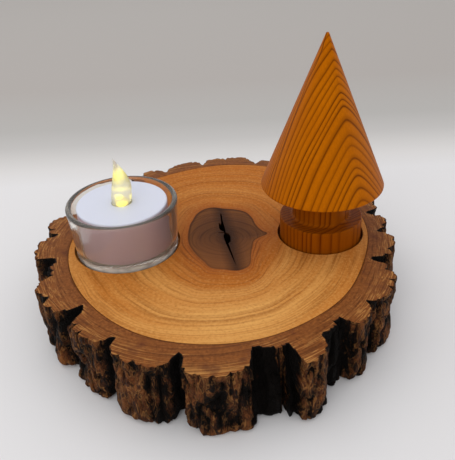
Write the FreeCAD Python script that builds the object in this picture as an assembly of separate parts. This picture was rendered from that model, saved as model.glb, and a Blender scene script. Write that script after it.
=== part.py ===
import FreeCAD, Part
import math
import os

# Log slice centrepiece: a live-edge wood slice with two round recesses. One holds a glass cup with a
# flameless tealight, the other holds the foot of a small turned cone tree.
# Millimetres. Origin on the underside below the pith, +Z up, +X from the cup towards the tree.

Vector = FreeCAD.Vector
UP = Vector(0, 0, 1)

# ---- Slice ----
SLICE_THICKNESS = 28.0
WOOD_RADIUS = 67.0          # mean radius of the wood inside the bark
BARK_THICKNESS = 19.0       # bark at its thickest ridge
CRACK_DEPTH = 7.0

# The drying crack across the pith, as (x, y) round its edge: a slit with wider mouths and a side branch.
CRACK_EDGE = [
    (-3, 21.5), (-2.3, 20), (-2, 15), (-1.5, 11.5), (-0.9, 6.5), (-0.9, 4.6), (0.6, 3.2), (1.2, 1),
    (1.1, -3), (0.1, -4.5), (0.6, -7), (1.4, -12), (2.2, -17), (2.8, -21.5), (1.5, -16), (0.6, -11.5),
    (-0.5, -6.5), (-1.4, -2), (-1.9, 1.5), (-1.4, 4), (-5, 4.4), (-1.5, 5), (-3, 6.5), (-3.6, 8),
    (-3.8, 12.8), (-2.7, 11.6), (-2.7, 15),
]

# The wood's edge, as (angle in degrees from +X, share of WOOD_RADIUS).
WOOD_EDGE = [
    (0, 0.895), (18, 0.93), (45, 1.0), (72, 1.06), (95, 1.07), (113, 1.045),
    (135, 1.035), (158, 1.02), (180, 1.015), (200, 1.0), (222, 1.0), (242, 1.015),
    (262, 1.005), (280, 0.98), (297, 0.94), (313, 0.91), (330, 0.875), (345, 0.872),
]

# The bark's ridges, as (furrow angle, furrow depth, ridge angle, ridge depth). The angles are in degrees and
# the depths are the bark's thickness there, as a share of BARK_THICKNESS. A furrow comes before its ridge.
BARK_RIDGES = [
    (13, 0.17, 22, 0.66), (30, 0.28, 38, 0.70), (47, 0.26, 56, 0.74),
    (64, 0.32, 71, 0.46), (77, 0.18, 89, 0.58), (98.5, 0.18, 105, 0.55),
    (114, 0.27, 121.5, 0.60), (130, 0.28, 137, 0.72), (144, 0.33, 151, 0.76),
    (159, 0.47, 167.5, 0.83), (172.5, 0.36, 181, 0.84), (189, 0.34, 193, 0.52),
    (196.5, 0.42, 207.5, 0.83), (218, 0.27, 227.5, 0.73), (236, 0.19, 245.5, 0.82),
    (255.5, 0.29, 265.5, 0.88), (276.5, 0.26, 280, 0.35), (283.5, 0.31, 288, 1.0),
    (295, 0.25, 299, 0.54), (302.5, 0.41, 307.5, 0.79), (315.5, 0.23, 323.5, 0.77),
    (340, 0.19, 350, 0.64), (359, 0.24, 365, 0.56),
]
SHOULDER_TURN = 0.30        # a ridge's shoulder, as a share of the way from furrow to crest
SHOULDER_RISE = 0.84        # and how much of the ridge's height it already has

# ---- Turned tree ----
TREE_Y = 1.4
TREE_RECESS_DEPTH = 5.0
TREE_RECESS_MARGIN = 1.8    # wood left between the recess and the bark
FOOT_RADIUS = 17.2
FOOT_CLEARANCE = 1.1
FOOT_HEIGHT = 14.1          # from its underside to its shoulder
STEM_RADIUS = 11.8
STEM_LENGTH = 14.5
CONE_RADIUS = 25.2
CONE_HEIGHT = 61.0
CONE_TIP_RADIUS = 0.5
TURNED_EDGE = 0.5           # broken edges of the turned foot and cone
STEM_FILLET = 1.2

# ---- Glass cup ----
CUP_RECESS_DEPTH = 3.0
CUP_RECESS_MARGIN = 2.3
CUP_RECESS_CLEARANCE = 1.2
CUP_FOOT_WALL = 1.85        # outside the tealight's clearance, at the foot
CUP_FLARE = 1.8             # the rim's radius beyond the foot's
CUP_BASE = 5.0
CUP_LIP = 0.8               # rim above the tealight's top
CUP_RIM_WALL = 2.3
CUP_RIM_ROUND = 0.45        # share of the rim's wall
CUP_CORNER = 1.6
CUP_INNER_CORNER = 0.5
CUP_PUNT_RADIUS = 15.0      # hollow in the cup's underside
CUP_PUNT_DEPTH = 0.8

# ---- Flameless tealight ----
LIGHT_HEIGHT = 18.3
LIGHT_CLEARANCE = 0.8       # between the tealight and the cup's wall at the cup's floor
SHELL_WALL = 1.0
SHELL_TOP = 1.2
SHELL_EDGE = 0.6
PLATE_CLEARANCE = 0.05

# The flame above the tealight's top, as (height, sideways shift along X, radius).
FLAME_SECTIONS = [
    (0.0, 0.0, 4.15), (3.5, 0.4, 4.25), (7.0, 0.9, 4.2), (11.0, 0.8, 3.3),
    (15.5, 0.0, 1.8), (18.5, -0.9, 0.7), (19.5, -1.2, 0.25),
]
FLAME_CLEARANCE = 0.1
FLAME_FLANGE_RADIUS = 5.6
FLAME_COLLAR = 2.7          # flange and collar below the tealight's top

LAMP_RADIUS = 2.5
LAMP_FLANGE_RADIUS = 2.9
LAMP_FLANGE = 1.0
LAMP_RISE = 3.7             # dome's top above the tealight's top
LAMP_CLEARANCE = 0.2
LEAD_SPACING = 2.54
LEAD_RADIUS = 0.25

CELL_RADIUS = 10.0
CELL_HEIGHT = 3.2
CELL_SIDE_GAP = 0.6
CELL_FLOOR_GAP = 0.1

PLATE_RECESS = 0.8          # the plate's underside above the shell's lower edge
PLATE = 1.5
BAY_WALL = 3.2
BAY_ROOF = 1.2
BAY_HEADROOM = 1.4          # above the cell, for the sprung contact
SWITCH_ROOM = 3.95          # between the battery bay and the shell's wall

COVER_RECESS = 0.2
COVER = 1.3
COVER_BOSS = 0.8
COVER_RING = 0.9            # radial width of the cover's raised ring
COVER_RIM_CLEARANCE = 0.3
LUG_REACH = 1.2
LUG_SPAN = 24.0             # degrees
LUG_GAP = 0.2
LUG_END_GAP = 1.0           # degrees
COVER_TWIST = 30.0          # degrees from locked to free
COIN_SLOT = (12.0, 1.6, 0.7)

CONTACT = 0.3               # contact strip thickness
POSITIVE_WIDTH = 1.0
NEGATIVE_WIDTH = 4.0
NEGATIVE_TAIL_X = 6.0       # its tail stands this far on the -X side of the light's axis
TONGUE_X = (-1.0, 4.0, 5.5) # where the sprung tongue leaves the roof, meets the cell and ends
BLADE_FOOT = 1.5            # the positive blade's lower end, above the cell's underside
BLADE_GAP = 0.02            # between the blade and the cell's rim
CELL_EDGE = 0.4
STRIP_SLOT_GAP = 0.2
POSITIVE_Y = -0.7
ANODE_Y = 0.7
WIPER_GAP = 0.1

SWITCH_TRAVEL = 2.4
SWITCH_SIDE_GAP = 0.5       # between the battery bay and the slider's flange
KNOB = (1.2, 2.4)           # across and along its travel
KNOB_GAP = 0.1
SLIDER_FLANGE = (2.4, 4.0, 1.2)
SLIDER_LIFT = 0.05
KNOB_PROUD = 0.6


def wood_share(angle):
    """Wood radius share at an angle: straight between the neighbouring points of WOOD_EDGE."""
    ring = WOOD_EDGE + [(WOOD_EDGE[0][0] + 360, WOOD_EDGE[0][1])]
    turn = angle % 360
    for (low, low_share), (high, high_share) in zip(ring, ring[1:]):
        if low <= turn <= high:
            return low_share + (high_share - low_share) * (turn - low) / (high - low)
    raise ValueError("angle outside the ring")


def polar(angle, radius):
    turn = math.radians(angle)
    return Vector(radius * math.cos(turn), radius * math.sin(turn), 0)


def bark_point(angle, depth_share):
    return polar(angle, wood_share(angle) * WOOD_RADIUS + depth_share * BARK_THICKNESS)


# ---- Sizes and places worked out from the sizes above ----
BAY_RADIUS = CELL_RADIUS + CELL_SIDE_GAP
BAY_OUTER = BAY_RADIUS + BAY_WALL
SWITCH_X = BAY_OUTER + SWITCH_SIDE_GAP + SLIDER_FLANGE[0] / 2
LIGHT_RADIUS = BAY_OUTER + SWITCH_ROOM + SHELL_WALL

CUP_INNER_RADIUS = LIGHT_RADIUS + LIGHT_CLEARANCE
CUP_FOOT_RADIUS = CUP_INNER_RADIUS + CUP_FOOT_WALL
CUP_RIM_RADIUS = CUP_FOOT_RADIUS + CUP_FLARE
CUP_HEIGHT = CUP_BASE + LIGHT_HEIGHT + CUP_LIP

CUP_RECESS_RADIUS = CUP_FOOT_RADIUS + CUP_RECESS_CLEARANCE
TREE_RECESS_RADIUS = FOOT_RADIUS + FOOT_CLEARANCE
CUP_X = -(wood_share(180) * WOOD_RADIUS - CUP_RECESS_MARGIN - CUP_RECESS_RADIUS)
TREE_X = wood_share(0) * WOOD_RADIUS - TREE_RECESS_MARGIN - TREE_RECESS_RADIUS
CUP_Z = SLICE_THICKNESS - CUP_RECESS_DEPTH
TREE_Z = SLICE_THICKNESS - TREE_RECESS_DEPTH
LIGHT_Z = CUP_Z + CUP_BASE
LIGHT_TOP = LIGHT_Z + LIGHT_HEIGHT

LAMP_SEAT = LIGHT_TOP - SHELL_TOP - FLAME_COLLAR
LAMP_Z = LAMP_SEAT - LAMP_FLANGE

PLATE_Z = LIGHT_Z + PLATE_RECESS
PLATE_TOP = PLATE_Z + PLATE
COVER_Z = PLATE_Z + COVER_RECESS
COVER_TOP = COVER_Z + COVER
LUG_TOP = COVER_TOP + COVER_BOSS
CELL_Z = COVER_TOP + CELL_FLOOR_GAP
CELL_TOP = CELL_Z + CELL_HEIGHT
BAY_CEILING = CELL_TOP + BAY_HEADROOM
BAY_TOP = BAY_CEILING + BAY_ROOF
COVER_RADIUS = BAY_RADIUS + COVER_RING
COVER_BORE = COVER_RADIUS + COVER_RIM_CLEARANCE
GROOVE_RADIUS = COVER_RADIUS + LUG_REACH + LUG_GAP
POSITIVE_ARM_Z = BAY_TOP + CONTACT
POSITIVE_X = CELL_RADIUS + BLADE_GAP


def tube_point(x, z):
    return Vector(x, 0, z)


def at_cup(shape):
    shape.translate(Vector(CUP_X, 0, 0))
    return shape


def at_tree(shape):
    shape.translate(Vector(TREE_X, TREE_Y, 0))
    return shape


def cylinder(radius, low, high):
    return Part.makeCylinder(radius, high - low, Vector(0, 0, low), UP)


def block(x, y, z):
    """A block from three (low, high) pairs."""
    return Part.makeBox(x[1] - x[0], y[1] - y[0], z[1] - z[0], Vector(x[0], y[0], z[0]))


def revolved(points):
    """A full turn about Z of a closed outline of (radius, height) points."""
    outline = Part.makePolygon([tube_point(r, z) for r, z in points + points[:1]])
    return Part.Face(outline).revolve(Vector(0, 0, 0), UP, 360)


def strip(points, low_y, high_y):
    """A closed outline of (x, z) points, as wide as low_y to high_y."""
    outline = Part.makePolygon([Vector(x, low_y, z) for x, z in points + points[:1]])
    return Part.Face(outline).extrude(Vector(0, high_y - low_y, 0))


def sector(radius, low, high, start, end):
    """A pie slice from start to end degrees."""
    pie = Part.makeCylinder(radius, high - low, Vector(0, 0, low), UP, end - start)
    pie.rotate(Vector(0, 0, 0), UP, start)
    return pie


def circular_edges(shape, radius, height):
    """The full circular edges of the given radius at the given height."""
    found = []
    for edge in shape.Edges:
        circle = edge.Curve
        if isinstance(circle, Part.Circle):
            if abs(circle.Radius - radius) < 1e-4 and abs(circle.Center.z - height) < 1e-4:
                found.append(edge)
    return found


def wood_wire():
    curve = Part.BSplineCurve()
    points = [polar(angle, share * WOOD_RADIUS) for angle, share in WOOD_EDGE]
    curve.interpolate(Points=points, PeriodicFlag=True)
    return Part.Wire(curve.toShape())


def shoulder(furrow, crest):
    """The (angle, depth) between a furrow and a crest that rounds the ridge."""
    angle = furrow[0] + SHOULDER_TURN * (crest[0] - furrow[0])
    depth = furrow[1] + SHOULDER_RISE * (crest[1] - furrow[1])
    return angle, depth


def bark_wire():
    """One curve over each ridge, meeting its neighbours in sharp furrows."""
    edges = []
    count = len(BARK_RIDGES)
    for index, (furrow, depth, ridge, height) in enumerate(BARK_RIDGES):
        following = BARK_RIDGES[(index + 1) % count]
        turn = 360 if index == count - 1 else 0
        start = (furrow, depth)
        crest = (ridge, height)
        end = (following[0] + turn, following[1])
        outline = [start, shoulder(start, crest), crest, shoulder(end, crest), end]
        curve = Part.BSplineCurve()
        curve.interpolate([bark_point(angle, share) for angle, share in outline])
        edges.append(curve.toShape())
    return Part.Wire(edges)


def make_wood_slice():
    wood = Part.Face(wood_wire()).extrude(Vector(0, 0, SLICE_THICKNESS))
    wood = wood.cut(at_cup(cylinder(CUP_RECESS_RADIUS, CUP_Z, SLICE_THICKNESS + 1)))
    wood = wood.cut(at_tree(cylinder(TREE_RECESS_RADIUS, TREE_Z, SLICE_THICKNESS + 1)))
    corners = [Vector(x, y, SLICE_THICKNESS - CRACK_DEPTH) for x, y in CRACK_EDGE]
    crack = Part.Face(Part.makePolygon(corners + corners[:1]))
    return wood.cut(crack.extrude(Vector(0, 0, CRACK_DEPTH + 1)))


def make_bark_ring():
    ring = Part.makeFace([bark_wire(), wood_wire()], "Part::FaceMakerBullseye")
    return ring.extrude(Vector(0, 0, SLICE_THICKNESS))


def make_turned_tree():
    foot_top = TREE_Z + FOOT_HEIGHT
    cone_base = foot_top + STEM_LENGTH
    edge = TURNED_EDGE
    tree = revolved([
        (0, TREE_Z), (FOOT_RADIUS - edge, TREE_Z), (FOOT_RADIUS, TREE_Z + edge),
        (FOOT_RADIUS, foot_top - edge), (FOOT_RADIUS - edge, foot_top), (STEM_RADIUS, foot_top),
        (STEM_RADIUS, cone_base), (CONE_RADIUS - edge, cone_base), (CONE_RADIUS, cone_base + edge),
        (CONE_TIP_RADIUS, cone_base + CONE_HEIGHT - edge), (0, cone_base + CONE_HEIGHT),
    ])
    tree = tree.makeFillet(STEM_FILLET, circular_edges(tree, STEM_RADIUS, foot_top))
    return at_tree(tree)


def make_glass_cup():
    rim = CUP_Z + CUP_HEIGHT
    floor = CUP_Z + CUP_BASE
    mouth = CUP_RIM_RADIUS - CUP_RIM_WALL
    cup = revolved([
        (0, CUP_Z), (CUP_FOOT_RADIUS, CUP_Z), (CUP_RIM_RADIUS, rim),
        (mouth, rim), (CUP_INNER_RADIUS, floor), (0, floor),
    ])
    cup = cup.makeFillet(CUP_CORNER, circular_edges(cup, CUP_FOOT_RADIUS, CUP_Z))
    rim_round = CUP_RIM_ROUND * CUP_RIM_WALL
    cup = cup.makeFillet(rim_round, circular_edges(cup, CUP_RIM_RADIUS, rim)
                         + circular_edges(cup, mouth, rim))
    cup = cup.makeFillet(CUP_INNER_CORNER, circular_edges(cup, CUP_INNER_RADIUS, floor))
    punt_sphere = (CUP_PUNT_RADIUS ** 2 + CUP_PUNT_DEPTH ** 2) / (2 * CUP_PUNT_DEPTH)
    centre = Vector(0, 0, CUP_Z + CUP_PUNT_DEPTH - punt_sphere)
    return at_cup(cup.cut(Part.makeSphere(punt_sphere, centre)))


def make_candle_shell():
    inner = LIGHT_RADIUS - SHELL_WALL
    shell = cylinder(LIGHT_RADIUS, LIGHT_Z, LIGHT_TOP)
    shell = shell.makeFillet(SHELL_EDGE, circular_edges(shell, LIGHT_RADIUS, LIGHT_TOP))
    shell = shell.cut(cylinder(inner, LIGHT_Z - 1, LIGHT_TOP - SHELL_TOP))
    hole = FLAME_SECTIONS[0][2] + FLAME_CLEARANCE
    return at_cup(shell.cut(cylinder(hole, LIGHT_Z, LIGHT_TOP + 1)))


def make_flame_lens():
    rings = []
    for height, shift, radius in FLAME_SECTIONS:
        circle = Part.Circle(Vector(shift, 0, LIGHT_TOP + height), UP, radius)
        rings.append(Part.Wire(circle.toShape()))
    lens = Part.makeLoft(rings, True, False)
    below = LIGHT_TOP - SHELL_TOP
    lens = lens.fuse(cylinder(FLAME_SECTIONS[0][2], LAMP_SEAT, LIGHT_TOP))
    lens = lens.fuse(cylinder(FLAME_FLANGE_RADIUS, LAMP_SEAT, below)).removeSplitter()
    bore = LAMP_RADIUS + LAMP_CLEARANCE
    dome = LIGHT_TOP + LAMP_RISE - LAMP_RADIUS
    lens = lens.cut(cylinder(bore, LAMP_SEAT - 1, dome))
    return at_cup(lens.cut(Part.makeSphere(bore, Vector(0, 0, dome))))


def make_led_lamp():
    dome = LIGHT_TOP + LAMP_RISE - LAMP_RADIUS
    lamp = cylinder(LAMP_RADIUS, LAMP_Z, dome)
    lamp = lamp.fuse(Part.makeSphere(LAMP_RADIUS, Vector(0, 0, dome)))
    lamp = lamp.fuse(cylinder(LAMP_FLANGE_RADIUS, LAMP_Z, LAMP_SEAT))
    return at_cup(lamp.removeSplitter())


def lead(points):
    """A bent wire: straight runs with a ball at each bend."""
    wire = None
    for start, end in zip(points, points[1:]):
        run = Part.makeCylinder(LEAD_RADIUS, (end - start).Length, start, end - start)
        wire = run if wire is None else wire.fuse(run)
    for bend in points[1:-1]:
        wire = wire.fuse(Part.makeSphere(LEAD_RADIUS, bend))
    return wire.removeSplitter()


def make_led_leads():
    """The cathode runs to the negative strip's tail, and the anode runs to the switch."""
    half = LEAD_SPACING / 2
    cathode = lead([
        Vector(-half, 0, LAMP_Z), Vector(-half, 0, POSITIVE_ARM_Z + LEAD_RADIUS),
        Vector(-NEGATIVE_TAIL_X, 0, POSITIVE_ARM_Z + LEAD_RADIUS),
    ])
    level = POSITIVE_ARM_Z + LEAD_RADIUS
    anode = lead([
        Vector(half, 0, LAMP_Z), Vector(half, 0, level + 1), Vector(half, ANODE_Y, level),
        Vector(SWITCH_X + KNOB[0] / 2, ANODE_Y, level),
    ])
    return at_cup(Part.makeCompound([cathode, anode]))


def make_base_plate():
    plate = cylinder(LIGHT_RADIUS - SHELL_WALL - PLATE_CLEARANCE, PLATE_Z, PLATE_TOP)
    plate = plate.fuse(cylinder(BAY_OUTER, PLATE_Z, BAY_TOP)).removeSplitter()
    plate = plate.cut(cylinder(BAY_RADIUS, PLATE_Z - 1, BAY_CEILING))
    plate = plate.cut(cylinder(COVER_BORE, PLATE_Z - 1, LUG_TOP + LUG_GAP))
    reach = LUG_SPAN / 2 + LUG_END_GAP
    for side in (0, 180):
        groove = sector(GROOVE_RADIUS, COVER_TOP - LUG_GAP, LUG_TOP + LUG_GAP,
                        side - reach, side + COVER_TWIST + reach)
        entry = sector(GROOVE_RADIUS, PLATE_Z - 1, LUG_TOP + LUG_GAP,
                       side + COVER_TWIST - reach, side + COVER_TWIST + reach)
        plate = plate.cut(groove).cut(entry)
    gap = STRIP_SLOT_GAP
    plate = plate.cut(block((POSITIVE_X - gap, POSITIVE_X + CONTACT + gap),
                            (POSITIVE_Y - POSITIVE_WIDTH / 2 - gap, POSITIVE_Y + POSITIVE_WIDTH / 2 + gap),
                            (BAY_CEILING - 1, BAY_TOP + 1)))
    half = NEGATIVE_WIDTH / 2 + gap
    plate = plate.cut(block((-NEGATIVE_TAIL_X - CONTACT - gap, -NEGATIVE_TAIL_X + gap), (-half, half),
                            (BAY_CEILING - 1, BAY_TOP + 1)))
    across = KNOB[0] / 2 + KNOB_GAP
    along = KNOB[1] / 2 + KNOB_GAP
    plate = plate.cut(block((SWITCH_X - across, SWITCH_X + across), (-along, along + SWITCH_TRAVEL),
                            (PLATE_Z - 1, PLATE_TOP + 1)))
    return at_cup(plate)


def make_battery_cover():
    cover = cylinder(COVER_RADIUS, COVER_Z, COVER_TOP)
    ring = cylinder(COVER_RADIUS, COVER_TOP, LUG_TOP).cut(cylinder(BAY_RADIUS, COVER_TOP, LUG_TOP))
    cover = cover.fuse(ring)
    for side in (0, 180):
        lug = sector(COVER_RADIUS + LUG_REACH, COVER_TOP, LUG_TOP, side - LUG_SPAN / 2, side + LUG_SPAN / 2)
        cover = cover.fuse(lug.cut(cylinder(BAY_RADIUS, COVER_TOP, LUG_TOP)))
    length, width, depth = COIN_SLOT
    slot = block((-length / 2, length / 2), (-width / 2, width / 2), (COVER_Z - 1, COVER_Z + depth))
    return at_cup(cover.removeSplitter().cut(slot))


def make_coin_cell():
    cell = cylinder(CELL_RADIUS, CELL_Z, CELL_TOP)
    return at_cup(cell.makeFillet(CELL_EDGE, circular_edges(cell, CELL_RADIUS, CELL_Z)))


def make_negative_contact():
    """Tail up through the bay's roof, a flat along the roof, and a tongue that bears on the cell."""
    tail_top = POSITIVE_ARM_Z
    top = BAY_CEILING
    inner = -NEGATIVE_TAIL_X
    leave, meet, tip = TONGUE_X
    tongue_top = CELL_TOP + CONTACT
    outline = [
        (inner - CONTACT, tail_top), (inner, tail_top), (inner, top), (leave, top), (meet, tongue_top),
        (tip, tongue_top), (tip, CELL_TOP), (meet, CELL_TOP), (leave, top - CONTACT),
        (inner - CONTACT, top - CONTACT),
    ]
    return at_cup(strip(outline, -NEGATIVE_WIDTH / 2, NEGATIVE_WIDTH / 2))


def make_positive_contact():
    """A blade beside the cell's rim, up through the roof, then an arm out over the switch."""
    foot = CELL_Z + BLADE_FOOT
    end = SWITCH_X + KNOB[0] / 2
    outline = [
        (POSITIVE_X, foot), (POSITIVE_X + CONTACT, foot), (POSITIVE_X + CONTACT, POSITIVE_ARM_Z),
        (end, POSITIVE_ARM_Z), (end, POSITIVE_ARM_Z + CONTACT), (POSITIVE_X, POSITIVE_ARM_Z + CONTACT),
    ]
    return at_cup(strip(outline, POSITIVE_Y - POSITIVE_WIDTH / 2, POSITIVE_Y + POSITIVE_WIDTH / 2))


def make_switch_slider():
    across, along, thick = SLIDER_FLANGE
    low = PLATE_TOP + SLIDER_LIFT
    flange = block((SWITCH_X - across / 2, SWITCH_X + across / 2), (-along / 2, along / 2),
                   (low, low + thick))
    knob = block((SWITCH_X - KNOB[0] / 2, SWITCH_X + KNOB[0] / 2), (-KNOB[1] / 2, KNOB[1] / 2),
                 (PLATE_Z - KNOB_PROUD, low))
    post = block((SWITCH_X - KNOB[0] / 2, SWITCH_X + KNOB[0] / 2), (-KNOB[1] / 2, KNOB[1] / 2),
                 (low + thick, POSITIVE_ARM_Z - WIPER_GAP - CONTACT))
    return at_cup(flange.fuse(knob).fuse(post).removeSplitter())


def make_switch_contact():
    top = POSITIVE_ARM_Z - WIPER_GAP
    return at_cup(block((SWITCH_X - KNOB[0] / 2, SWITCH_X + KNOB[0] / 2), (-KNOB[1] / 2, KNOB[1] / 2),
                        (top - CONTACT, top)))


MAKERS = {
    "wood_slice": make_wood_slice,
    "bark_ring": make_bark_ring,
    "turned_tree": make_turned_tree,
    "glass_cup": make_glass_cup,
    "candle_shell": make_candle_shell,
    "flame_lens": make_flame_lens,
    "led_lamp": make_led_lamp,
    "led_leads": make_led_leads,
    "base_plate": make_base_plate,
    "battery_cover": make_battery_cover,
    "coin_cell": make_coin_cell,
    "negative_contact": make_negative_contact,
    "positive_contact": make_positive_contact,
    "switch_slider": make_switch_slider,
    "switch_contact": make_switch_contact,
}

os.makedirs("parts", exist_ok=True)
for name, make in MAKERS.items():
    shape = make()
    box = shape.BoundBox
    print(name, shape.ShapeType, len(shape.Solids), "valid" if shape.isValid() else "NOT VALID",
          "volume %.1f" % shape.Volume, "z %.2f to %.2f" % (box.ZMin, box.ZMax))
    shape.exportStep("parts/%s.step" % name)
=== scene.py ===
import functools
import math

import bpy
import numpy as np
from bpy.props import FloatProperty, FloatVectorProperty, IntProperty, PointerProperty
from mathutils import Matrix, Vector


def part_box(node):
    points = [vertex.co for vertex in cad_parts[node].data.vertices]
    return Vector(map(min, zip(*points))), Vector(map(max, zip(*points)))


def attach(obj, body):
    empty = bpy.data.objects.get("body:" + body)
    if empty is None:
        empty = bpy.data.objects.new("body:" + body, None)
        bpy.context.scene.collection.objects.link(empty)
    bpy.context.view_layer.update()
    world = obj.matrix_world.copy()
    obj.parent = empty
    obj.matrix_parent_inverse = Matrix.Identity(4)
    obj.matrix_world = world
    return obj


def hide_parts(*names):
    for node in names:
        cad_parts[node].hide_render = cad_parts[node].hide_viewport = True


# A log slice centrepiece: a wood slice with its bark on, a glass cup with a flameless tealight, and a small
# turned cone tree. Metres, in the frame of the CAD model, which holds every size and place. This file adds
# what CAD leaves plain: the furrowed bark, the turned and pressed surfaces, and the finishes.

bl_info = {
    "name": "Log slice centrepiece",
    "version": (1, 0, 0),
    "blender": (4, 5, 0),
    "location": "3D View > Sidebar > Centrepiece",
    "description": "Builds the bark, the turned tree, the glass cup, the tealight and their finishes",
    "category": "Object",
}

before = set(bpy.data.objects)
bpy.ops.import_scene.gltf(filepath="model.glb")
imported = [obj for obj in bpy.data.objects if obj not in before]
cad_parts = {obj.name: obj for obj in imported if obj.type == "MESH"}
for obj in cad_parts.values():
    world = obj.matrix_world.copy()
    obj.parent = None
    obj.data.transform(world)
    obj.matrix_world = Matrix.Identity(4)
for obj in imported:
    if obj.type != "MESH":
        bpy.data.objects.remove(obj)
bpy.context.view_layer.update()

MM = 0.001
FULL_TURN = 2 * math.pi

SLICE_LOW, SLICE_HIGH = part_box("wood_slice")
SLICE_TOP = SLICE_HIGH.z
TREE_LOW, TREE_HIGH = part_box("turned_tree")
CUP_LOW, CUP_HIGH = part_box("glass_cup")
SHELL_LOW, SHELL_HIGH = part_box("candle_shell")
FLAME_LOW, FLAME_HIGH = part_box("flame_lens")
LAMP_LOW, LAMP_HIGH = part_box("led_lamp")
TREE_CENTRE = (TREE_LOW + TREE_HIGH) / 2
CUP_CENTRE = (CUP_LOW + CUP_HIGH) / 2


# ---- Sizes and colours that a user would change ----

def linear(code):
    """An sRGB hex colour as linear red, green and blue, by the sRGB transfer curve."""
    shares = [int(code[i:i + 2], 16) / 255 for i in (1, 3, 5)]
    return [s / 12.92 if s <= 0.04045 else ((s + 0.055) / 1.055) ** 2.4 for s in shares]


def rgba(shade):
    """A colour with alpha 1, from an sRGB hex colour or from linear red, green and blue."""
    return (*(linear(shade) if isinstance(shade, str) else shade), 1)


def colour(name, description, code):
    """A colour that the user can change."""
    return FloatVectorProperty(name=name, description=description, default=linear(code), size=3,
                               min=0, max=1, subtype="COLOR")


def length(name, description, millimetres):
    """A length that the user can change."""
    return FloatProperty(name=name, description=description, default=millimetres * MM, unit="LENGTH")


class BarkSizes(bpy.types.PropertyGroup):
    stations: IntProperty(name="Stations", description="Points round the bark", default=1080, min=200)
    levels: IntProperty(name="Levels", description="Points up the bark's side", default=56, min=12)
    strand_depth: length("Strand depth", "Depth of the long cracks between strands", 2.4)
    plate_depth: length("Plate depth", "Depth of the cracks between small plates", 1.5)
    grain_depth: length("Grain depth", "Depth of the rough grain", 0.7)
    sway: length("Furrow sway", "How far a furrow wanders sideways down the slice", 1.1)
    worn_foot: length("Worn foot", "Largest rounding of a ridge's lower end", 4.0)
    sawn_edge: length("Sawn edge", "Rounding where the side meets the sawn face", 0.35)
    bark_margin: length("Least bark", "Bark left over the wood in the deepest crack", 0.8)
    thinnest: length("Thinnest ridge", "Ridges thinner than this are cut down", 2.6)
    furrow_reach: length("Furrow reach", "A crest this near makes a low place dark", 11.0)
    cambium: length("Cambium groove", "Depth of the groove between wood and bark", 0.12)
    filled_direction: FloatProperty(name="Filled notch", description="Direction of the filled notch",
                                    default=-1.4, subtype="ANGLE")
    filled_spread: FloatProperty(name="Filled spread", description="Half width of the filled notch",
                                 default=0.16, subtype="ANGLE")
    filled_share: FloatProperty(name="Filled share", description="Share of its depth filled at the foot",
                                default=0.85, min=0, max=1)


class TurnedSizes(bpy.types.PropertyGroup):
    facets: IntProperty(name="Facets", description="Points round a turned piece", default=192, min=48)
    foot_radius: length("Foot radius", "Radius of the tree's foot", 17.2)
    foot_height: length("Foot height", "Height of the tree's foot", 14.1)
    stem_radius: length("Stem radius", "Radius of the tree's stem", 11.8)
    stem_length: length("Stem length", "Gap between the foot and the cone", 14.5)
    edge: length("Broken edge", "Rounding of the turned edges", 0.5)
    fillet: length("Stem fillet", "Rounding at the lower end of the stem", 1.2)


class CupSizes(bpy.types.PropertyGroup):
    foot_radius: length("Foot radius", "Outer radius at the cup's foot", 21.4)
    inner_radius: length("Inner radius", "Inner radius at the cup's floor", 19.55)
    base: length("Base", "Thickness of the glass base", 5.0)
    rim_wall: length("Rim wall", "Thickness of the rim", 2.3)
    corner: length("Foot corner", "Rounding of the foot", 1.6)
    punt_radius: length("Punt radius", "Radius of the hollow in the underside", 15.0)
    punt_depth: length("Punt depth", "Depth of the hollow in the underside", 0.8)


class TealightSizes(bpy.types.PropertyGroup):
    wall: length("Wall", "Thickness of the white shell's side", 1.0)
    top: length("Top", "Thickness of the white shell's top", 1.2)
    edge: length("Edge", "Rounding of the shell's upper edge", 0.6)
    hole: length("Hole", "Radius of the hole for the flame", 4.25)
    flame_neck: length("Flame neck", "Radius of the flame where it leaves the shell", 4.15)
    flame_bore: length("Flame bore", "Radius of the bore over the lamp", 2.7)
    lamp_radius: length("Lamp radius", "Radius of the lamp's dome", 2.5)
    lamp_flange: length("Lamp flange", "Height of the lamp's flange", 1.0)


class Colours(bpy.types.PropertyGroup):
    wood_pale: colour("Pale wood", "Light growth of the slice", "#DBA057")
    wood_deep: colour("Deep wood", "Dark growth of the slice", "#B2661F")
    wood_halo: colour("Halo", "Reddish wood round the heart", "#8E4A1E")
    heart: colour("Heart", "Dark heartwood", "#613A20")
    cut_bark: colour("Cut bark", "Sawn face of the bark", "#7F4A22")
    bark_ridge: colour("Bark ridge", "Raised bark", "#774827")
    # The furrow colour is the bark's own dark with painted shade in it.
    bark_furrow: colour("Bark furrow", "Deep bark", "#0A0604")
    tree_pale: colour("Pale tree wood", "Early growth of the turned tree", "#B66304")
    tree_dark: colour("Dark tree wood", "Late growth of the turned tree", "#4E1E02")
    candle: colour("Candle white", "Moulded shell of the tealight", "#D7DBEA")
    glow: colour("Glow", "Light of the lamp", "#FFF01E")
    floor: colour("Floor", "Studio floor", "#E3E2E3")
    backdrop: colour("Backdrop", "Studio floor far behind", "#B2ADA9")


class StageSizes(bpy.types.PropertyGroup):
    distance: length("Camera distance", "From the camera to the point it looks at", 264.94)
    rise: length("Aim height", "The point looked at, above the slice's top", 3.89)
    pitch: FloatProperty(name="Pitch", description="How far the camera looks down",
                         default=math.radians(31.59), subtype="ANGLE")
    roll: FloatProperty(name="Roll", description="The camera's tilt", default=math.radians(-3.0),
                        subtype="ANGLE")
    lens: FloatProperty(name="Lens", description="Focal length on a 36 mm sensor", default=48.52,
                        unit="CAMERA")
    floor_radius: length("Floor radius", "Radius of the studio floor", 3000)


# ---- Shape helpers ----

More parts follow.
